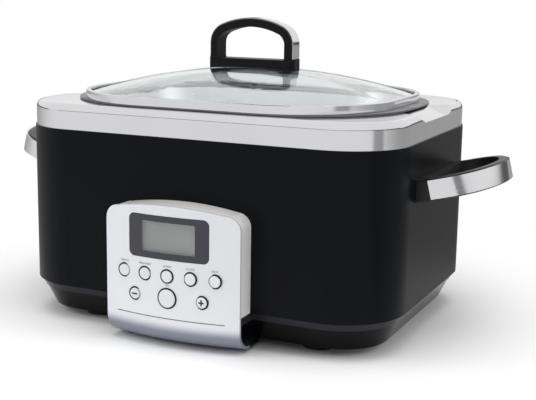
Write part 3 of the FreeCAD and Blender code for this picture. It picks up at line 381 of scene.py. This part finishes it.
FINISHES = {
    "black_paint": moulded(
        "black_paint", colour=(0.0022, 0.0027, 0.0036), worn=(0.016, 0.016, 0.018),
        rough=0.36, grain=1400.0, bump=0.004, specular=0.1),
    "black_plastic": moulded(
        "black_plastic", colour=(0.012, 0.012, 0.013), worn=(0.05, 0.05, 0.05),
        rough=0.38, grain=1100.0, bump=0.12, specular=0.4),
    "handle_plastic": moulded(
        "handle_plastic", colour=(0.0045, 0.0042, 0.006), worn=(0.03, 0.028, 0.032),
        rough=0.38, grain=1000.0, bump=0.03, specular=0.16),
    "rubber": moulded(
        "rubber", colour=(0.014, 0.014, 0.014), worn=(0.05, 0.05, 0.05),
        rough=0.7, grain=700.0, bump=0.2, specular=0.3),
    "bright_surround": moulded(
        "bright_surround", colour=(0.8, 0.79, 0.77), worn=(0.86, 0.85, 0.83),
        rough=0.22, grain=1600.0, bump=0.01, specular=0.6, coat=0.2),
    "silver_button": moulded(
        "silver_button", colour=(0.78, 0.79, 0.82), worn=(0.86, 0.87, 0.89),
        rough=0.24, grain=1600.0, bump=0.02, specular=0.6, coat=0.3),
    "bezel": moulded(
        "bezel", colour=(0.028, 0.027, 0.042), worn=(0.1, 0.09, 0.13),
        rough=0.24, grain=1500.0, bump=0.02, specular=0.5, coat=0.2),
    "screen": moulded(
        "screen", colour=(0.29, 0.29, 0.285), worn=(0.4, 0.4, 0.4),
        rough=0.5, grain=2600.0, bump=0.05, specular=0.3),
    "insulation": moulded(
        "insulation", colour=(0.72, 0.68, 0.58), worn=(0.8, 0.78, 0.7),
        rough=0.9, grain=260.0, bump=0.9, specular=0.1),
    "board": moulded(
        "board", colour=(0.02, 0.12, 0.055), worn=(0.1, 0.25, 0.15),
        rough=0.4, grain=800.0, bump=0.05, specular=0.5),
    # The gloss black's band colour is a painted sheen on the upright band
    "gloss_black": banded_gloss(
        "gloss_black", colour=(0.0022, 0.0022, 0.003), band=(0.024, 0.0235, 0.03),
        rough=0.16, grain=1100.0, bump=0.004, specular=0.12),
    # The silver panel's second, darker colour is painted shade where its chin turns under
    "silver_panel": satin_panel(
        "silver_panel", colour=(0.8, 0.815, 0.85), painted_chin_shade=(0.26, 0.275, 0.34),
        rough=0.26, grain=2200.0, bump=0.001),
    "polished_steel": sheet_metal("polished_steel", colour=(0.72, 0.72, 0.735), rough=0.075, bump=0.012),
    "sheet_steel": sheet_metal("sheet_steel", colour=(0.62, 0.62, 0.61), rough=0.3),
    "heater_metal": sheet_metal(
        "heater_metal", colour=(0.55, 0.55, 0.54), rough=0.42, along=160.0, across=160.0),
    "screw_steel": sheet_metal(
        "screw_steel", colour=(0.58, 0.58, 0.59), rough=0.25, along=60.0, across=500.0),
    # The pot metal's flange colour is a painted dark reflection
    "pot_metal": rimmed_metal(
        "pot_metal", colour=(0.9, 0.9, 0.91), flange=(0.2, 0.2, 0.21), rough=0.34, along=30.0, across=300.0),
    "lid_glass": clear_glass("lid_glass", colour=(0.95, 0.98, 0.98), rough_low=0.0, rough_high=0.02),
    "clear_lens": clear_glass("clear_lens", colour=(0.95, 0.96, 0.96), rough_low=0.02, rough_high=0.05),
}
# The seals' black is partly their own colour and partly painted shade for the gap round each cap
SEAL_BLACK_AND_GAP_SHADE = moulded(
    "dark_gap", colour=(0.006, 0.0065, 0.009), worn=(0.02, 0.02, 0.024),
    rough=0.42, grain=1200.0, bump=0.03, specular=0.25)
# Ink for the printed words, and painted shade for the groove line across the chin
PRINT_INK_AND_GROOVE_SHADE = moulded(
    "print_ink_and_groove_shade", colour=(0.09, 0.095, 0.11), worn=(0.14, 0.14, 0.15),
    rough=0.55, grain=1800.0, bump=0.02, specular=0.2)
SIGN_INK = moulded(
    "sign_ink", colour=(0.02, 0.021, 0.026), worn=(0.06, 0.06, 0.065),
    rough=0.45, grain=1800.0, bump=0.02, specular=0.3)

for entry in frame["record"]["subparts"]:
    piece = NODES[entry["node"]]
    piece.data.materials.clear()
    piece.data.materials.append(FINISHES[entry["material_slot"]])


# Pieces added to the solids

BUTTONS = [f"button_{i}" for i in range(1, 6)] + ["minus_button", "start_button", "plus_button"]
CRISP_ANGLE = math.radians(40)
INK_LIFT = 0.06 * MM

# Words over the buttons
WORDS = {
    "button_1": "GENTLE",
    "button_2": "HIGH HEAT",
    "button_3": "WARM",
    "button_4": "CLOCK",
    "button_5": "HEAT",
    "start_button": "ON",
}
WORD_HEIGHT = 2.7 * MM
WORD_GAP = 2.2 * MM
WORD_CURVE_STEPS = 3

# Arms of the minus and plus signs, as quarter turns
SIGN_TURNS = {"minus_button": (0, 2), "plus_button": (0, 1, 2, 3)}
QUARTER_TURN = math.pi / 2
SIGN_ARM = 3.1 * MM
SIGN_BAR = 0.75 * MM
ARM_STEPS = 8

# The fine dark line across the panel's chin, painted shade of its groove
CHIN_LINE_HALF = 57.5 * MM
CHIN_LINE_LEVEL = 30 * MM
CHIN_LINE_WIDTH = 0.8 * MM
CHIN_LINE_SINK = 0.3 * MM
CHIN_LINE_COLUMNS = 24

# The seal round a cap, partly a real seal and partly painted shade of the gap: proud of the panel's face,
# lapped over the hole's edge and sunk into the hole
SEAL_STEPS = 48
SEAL_OFF_CAP = 0.1 * MM
SEAL_PROUD = 0.45 * MM
SEAL_LAP = 0.8 * MM
SEAL_INNER_CORNER = 0.2 * MM
SEAL_OUTER_CORNER = 0.25 * MM
SEAL_BED = 0.1 * MM
SEAL_OFF_HOLE = 0.05 * MM
SEAL_NECK = 0.3 * MM
SEAL_SINK = 0.5 * MM


def panel_y(x):
    """The bowed panel's face at this distance from its middle."""
    return PANEL_FACE + PANEL_BOW - math.sqrt(PANEL_BOW ** 2 - x ** 2)


def finish_mesh(name, mesh, material, body):
    """A piece from a mesh, with its finish, that rides on a body."""
    data = bpy.data.meshes.new(name)
    mesh.normal_update()
    mesh.to_mesh(data)
    mesh.free()
    piece = bpy.data.objects.new(name, data)
    bpy.context.scene.collection.objects.link(piece)
    data.materials.append(material)
    for face in data.polygons:
        face.use_smooth = True
    crisp = piece.modifiers.new("crisp_edges", "EDGE_SPLIT")
    crisp.split_angle = CRISP_ANGLE
    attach(piece, body)


def join_loops(mesh, here, there):
    """Four-sided faces all round between two closed loops of points."""
    for i in range(len(here)):
        j = (i + 1) % len(here)
        mesh.faces.new((here[i], here[j], there[j], there[i]))


def seal_profile(cap, hole):
    """The seal's closed section as (radius, depth) pairs; depth runs into the panel."""
    inner = cap + SEAL_OFF_CAP
    outer = hole + SEAL_LAP
    neck = hole - SEAL_OFF_HOLE
    return [
        (inner, SEAL_SINK),
        (inner, SEAL_INNER_CORNER - SEAL_PROUD),
        (inner + SEAL_INNER_CORNER, -SEAL_PROUD),
        (outer - SEAL_OUTER_CORNER, -SEAL_PROUD),
        (outer, SEAL_OUTER_CORNER - SEAL_PROUD),
        (outer, SEAL_BED),
        (neck, SEAL_NECK),
        (neck, SEAL_SINK),
    ]


def button_seal(name, centre, profile):
    """A ring turned round the button's axis from its section."""
    mesh = bmesh.new()
    loops = []
    for step in range(SEAL_STEPS):
        angle = 2 * math.pi * step / SEAL_STEPS
        across, up = math.cos(angle), math.sin(angle)
        loops.append([mesh.verts.new(centre + Vector((r * across, depth, r * up))) for r, depth in profile])
    for here, there in zip(loops, loops[1:] + loops[:1]):
        join_loops(mesh, here, there)
    bmesh.ops.recalc_face_normals(mesh, faces=mesh.faces)
    # The seal's black also paints the shade in the gap round the cap
    finish_mesh(name, mesh, SEAL_BLACK_AND_GAP_SHADE, "cooker")


def bowed_line(name, half, low, high):
    """A thin bar across the panel that follows its bow, painted dark as the shade of a groove."""
    mesh = bmesh.new()
    sections = []
    for i in range(CHIN_LINE_COLUMNS + 1):
        x = half * (2 * i / CHIN_LINE_COLUMNS - 1)
        front = panel_y(x) - INK_LIFT
        back = panel_y(x) + CHIN_LINE_SINK
        corners = ((front, low), (front, high), (back, high), (back, low))
        sections.append([mesh.verts.new((x, y, z)) for y, z in corners])
    for here, there in zip(sections, sections[1:]):
        join_loops(mesh, here, there)
    mesh.faces.new(sections[0])
    mesh.faces.new(sections[-1])
    bmesh.ops.recalc_face_normals(mesh, faces=mesh.faces)
    # Painted shade: the bar is dark as the shade in the chin's groove
    finish_mesh(name, mesh, PRINT_INK_AND_GROOVE_SHADE, "cooker")


def printed_word(name, word, x, z):
    """A small word that lies on the panel's face, turned to follow the bow."""
    curve = bpy.data.curves.new(name, "FONT")
    curve.body = word
    curve.size = WORD_HEIGHT
    curve.align_x = "CENTER"
    curve.resolution_u = WORD_CURVE_STEPS
    curve.extrude = INK_LIFT
    holder = bpy.data.objects.new(f"{name}_type", curve)
    bpy.context.scene.collection.objects.link(holder)
    shaped = holder.evaluated_get(bpy.context.evaluated_depsgraph_get())
    mesh = bmesh.new()
    mesh.from_mesh(shaped.to_mesh())
    shaped.to_mesh_clear()
    bpy.data.objects.remove(holder)
    stand_up = Matrix.Rotation(QUARTER_TURN, 4, "X")
    follow_bow = Matrix.Rotation(math.asin(x / PANEL_BOW), 4, "Z")
    onto_face = Matrix.Translation((x, panel_y(x), z))
    bmesh.ops.transform(mesh, matrix=onto_face @ follow_bow @ stand_up, verts=mesh.verts)
    finish_mesh(name, mesh, PRINT_INK_AND_GROOVE_SHADE, "cooker")


def rounded_arm(turn):
    """One arm of a sign, from its root at the middle out to its round end and back."""
    points = [(SIGN_BAR, SIGN_BAR)]
    for step in range(ARM_STEPS + 1):
        angle = math.pi / 2 - math.pi * step / ARM_STEPS
        points.append((SIGN_ARM - SIGN_BAR + SIGN_BAR * math.cos(angle), SIGN_BAR * math.sin(angle)))
    cos, sin = math.cos(turn), math.sin(turn)
    return [(u * cos + v * sin, v * cos - u * sin) for u, v in points]


def raised_sign(name, outline, centre, body):
    """A sign that stands a little off a cap, from its outline in the cap's plane."""
    mesh = bmesh.new()
    front, back = ([mesh.verts.new(centre + Vector((u, depth, v))) for u, v in outline]
                   for depth in (-INK_LIFT, INK_LIFT))
    mesh.faces.new(front)
    mesh.faces.new(back)
    join_loops(mesh, front, back)
    bmesh.ops.recalc_face_normals(mesh, faces=mesh.faces)
    finish_mesh(name, mesh, SIGN_INK, body)


def dress_buttons():
    """A dark seal in the gap round each cap, its black partly painted shade of the gap, and a small printed
    word above it.
    """
    for name in BUTTONS:
        low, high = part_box(name)
        middle = (low + high) / 2
        hole = (high.x - low.x) / 2 - BUTTON_SHOULDER
        cap = hole - BUTTON_GAP
        on_panel = Vector((middle.x, low.y + BUTTON_PROUD, middle.z))
        button_seal(f"{name}_seal", on_panel, seal_profile(cap, hole))
        if name in WORDS:
            printed_word(f"{name}_word", WORDS[name], middle.x, middle.z + hole + WORD_GAP)


def dress_signs():
    """A minus bar and a plus cross on the two step buttons."""
    for name, turns in SIGN_TURNS.items():
        low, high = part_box(name)
        middle = (low + high) / 2
        outline = [point for turn in turns for point in rounded_arm(turn * QUARTER_TURN)]
        raised_sign(f"{name}_sign", outline, Vector((middle.x, low.y, middle.z)), name)


dress_buttons()
dress_signs()
bowed_line("chin_line", CHIN_LINE_HALF, CHIN_LINE_LEVEL - CHIN_LINE_WIDTH / 2,
           CHIN_LINE_LEVEL + CHIN_LINE_WIDTH / 2)


# Floor, light and camera

FLOOR_HALF = 6.0
FLOOR_COLOUR = (0.93, 0.93, 0.935)
FLOOR_ROUGH = 0.9
FLOOR_SPECULAR = 0.1

# The floor takes the shadow out to the first distance from its middle and is plain white past the second
SHADOW_REACH, WHITE_REACH = 0.22, 0.45

# Strength of the plain even light
PLAIN_STRENGTH = 0.5

# The studio as polished metal mirrors it: its strength in front, behind and overhead
FRONT_STRENGTH = 0.9
BACK_STRENGTH = 0.4
OVERHEAD_STRENGTH = 0.95

# Bearings in radians at which the bright front ends and the greyer back begins, on either side
FRONT_END, BACK_START = 0.9, 2.2

# The upward share of a direction at which the overhead light is full
OVERHEAD_RISE = 0.12

# The dark upright gap in that studio, as a bearing from straight in front of the part to its right
GAP_BEARING = math.radians(75)
GAP_HALF = math.radians(12)
GAP_SHARE = 0.5

# The darker strip at eye level, where the floor meets the backdrop
SKYLINE_HALF = 0.08
SKYLINE_SHARE = 0.3

# The inner part of the gap and of the skyline that is fully dark
DARK_CORE = 0.4

# Lamps, in metres and watts
SOFTBOXES = {
    "softbox_top": {
        "place": (0.1, -0.2, 1.6), "aim": (0, 0, 0.1), "width": 1.6, "height": 1.2, "power": 16},
    "softbox_left": {
        "place": (-1.5, -0.9, 0.9), "aim": (0, 0, 0.12), "width": 0.9, "height": 1.3, "power": 10},
    "softbox_right": {
        "place": (1.6, 0.1, 0.8), "aim": (0, 0, 0.12), "width": 0.8, "height": 1.2, "power": 8},
}

# The camera, fitted to edges of the housing, rim and console in the photograph
CAMERA_YAW = math.radians(24.57)
CAMERA_PITCH = math.radians(11.05)
CAMERA_ROLL = math.radians(0.9)
CAMERA_DISTANCE = 1.161
CAMERA_TARGET = Vector((0.0182, HOUSING_MIDDLE_Y, 0.1135))
SENSOR_WIDTH = 36.0
PHOTO_WIDTH_PIXELS = 536.0
FOCAL_LENGTH_PIXELS = 1095.0


def mirror_strength(tree, direction):
    """What polished metal sees that way: a bright front, a greyer back and one dark upright gap."""
    axes = split_axes(tree, direction)
    ahead = math_node(tree, "MULTIPLY", axes["Y"], -1.0)
    bearing = math_node(tree, "ARCTAN2", axes["X"], ahead)
    turn = math_node(tree, "ABSOLUTE", bearing)
    studio = ramp_node(tree, turn, FRONT_END, BACK_START, FRONT_STRENGTH, BACK_STRENGTH)
    off_gap = math_node(tree, "ABSOLUTE", math_node(tree, "SUBTRACT", bearing, GAP_BEARING))
    gap = ramp_node(tree, off_gap, GAP_HALF * DARK_CORE, GAP_HALF, GAP_SHARE, 1.0)
    return math_node(tree, "MULTIPLY", studio, gap)


def make_floor():
    """Pale ground that takes the shadow near the part and runs out to white."""
    mesh = bmesh.new()
    bmesh.ops.create_grid(mesh, x_segments=2, y_segments=2, size=FLOOR_HALF)
    data = bpy.data.meshes.new("floor")
    mesh.to_mesh(data)
    mesh.free()
    floor = bpy.data.objects.new("floor", data)
    bpy.context.scene.collection.objects.link(floor)
    finish, tree, shader = new_finish("floor_white")
    shader.inputs["Roughness"].default_value = FLOOR_ROUGH
    shader.inputs["Specular IOR Level"].default_value = FLOOR_SPECULAR
    shader.inputs["Base Color"].default_value = shade(FLOOR_COLOUR)
    place = object_place(tree)
    reach = add_node(tree, "ShaderNodeVectorMath", operation="LENGTH")
    tree.links.new(place, reach.inputs[0])
    path = add_node(tree, "ShaderNodeLightPath").outputs
    white = add_node(tree, "ShaderNodeEmission")
    mirrored = add_node(tree, "ShaderNodeEmission")
    tree.links.new(mirror_strength(tree, place), mirrored.inputs["Strength"])
    glow = pick(tree, path["Is Glossy Ray"], white.outputs[0], mirrored.outputs[0])
    seen = math_node(tree, "MAXIMUM", path["Is Glossy Ray"], path["Is Transmission Ray"])
    seen = math_node(tree, "MAXIMUM", path["Is Camera Ray"], seen)
    far = ramp_node(tree, reach.outputs["Value"], SHADOW_REACH, WHITE_REACH)
    surface = pick(tree, math_node(tree, "MULTIPLY", far, seen), shader.outputs[0], glow)
    tree.links.new(surface, tree.nodes["Material Output"].inputs["Surface"])
    data.materials.append(finish)


def make_world():
    """White where it is seen, the studio where it is mirrored, and a plain even light for the rest."""
    world = bpy.data.worlds.new("studio")
    bpy.context.scene.world = world
    world.use_nodes = True
    tree = world.node_tree
    light = tree.nodes["Background"]
    white = add_node(tree, "ShaderNodeBackground")
    mirrored = add_node(tree, "ShaderNodeBackground")
    for background in (light, white, mirrored):
        background.inputs["Color"].default_value = (1, 1, 1, 1)
    light.inputs["Strength"].default_value = PLAIN_STRENGTH
    direction = add_node(tree, "ShaderNodeTexCoord").outputs["Generated"]
    rise = split_axes(tree, direction)["Z"]
    overhead = ramp_node(tree, rise, 0.0, OVERHEAD_RISE, 0.0, OVERHEAD_STRENGTH)
    off_level = math_node(tree, "ABSOLUTE", rise)
    skyline = ramp_node(tree, off_level, SKYLINE_HALF * DARK_CORE, SKYLINE_HALF, SKYLINE_SHARE, 1.0)
    studio = math_node(tree, "MAXIMUM", mirror_strength(tree, direction), overhead)
    tree.links.new(math_node(tree, "MULTIPLY", studio, skyline), mirrored.inputs["Strength"])
    path = add_node(tree, "ShaderNodeLightPath").outputs
    seen = math_node(tree, "MAXIMUM", path["Is Camera Ray"], path["Is Transmission Ray"])
    unseen = pick(tree, path["Is Glossy Ray"], light.outputs[0], mirrored.outputs[0])
    surface = pick(tree, seen, unseen, white.outputs[0])
    tree.links.new(surface, tree.nodes["World Output"].inputs["Surface"])


def add_softbox(name, place, aim, width, height, power):
    """A soft lamp that lights the part and is not mirrored in it."""
    data = bpy.data.lights.new(name, "AREA")
    data.shape = "RECTANGLE"
    data.size = width
    data.size_y = height
    data.energy = power
    lamp = bpy.data.objects.new(name, data)
    bpy.context.scene.collection.objects.link(lamp)
    lamp.visible_glossy = False
    lamp.location = place
    lamp.rotation_euler = (Vector(aim) - Vector(place)).to_track_quat("-Z", "Y").to_euler()


def make_camera():
    """The photograph's view: a long lens to the right of the front, a little above the rim."""
    level = math.cos(CAMERA_PITCH)
    ahead = Vector((-math.sin(CAMERA_YAW) * level, math.cos(CAMERA_YAW) * level, -math.sin(CAMERA_PITCH)))
    right = Vector((math.cos(CAMERA_YAW), math.sin(CAMERA_YAW), 0))
    up = right.cross(ahead)
    across = math.cos(CAMERA_ROLL) * right + math.sin(CAMERA_ROLL) * up
    upright = math.cos(CAMERA_ROLL) * up - math.sin(CAMERA_ROLL) * right
    spot = CAMERA_TARGET - CAMERA_DISTANCE * ahead
    data = bpy.data.cameras.new("photo_camera")
    data.sensor_width = SENSOR_WIDTH
    data.lens = SENSOR_WIDTH * FOCAL_LENGTH_PIXELS / PHOTO_WIDTH_PIXELS
    camera = bpy.data.objects.new("photo_camera", data)
    bpy.context.scene.collection.objects.link(camera)
    turned = Matrix((across, upright, -ahead)).transposed().to_4x4()
    camera.matrix_world = Matrix.Translation(spot) @ turned
    bpy.context.scene.camera = camera


make_floor()
make_world()
for name, settings in SOFTBOXES.items():
    add_softbox(name, **settings)
make_camera()
bpy.context.scene.view_settings.view_transform = "Standard"
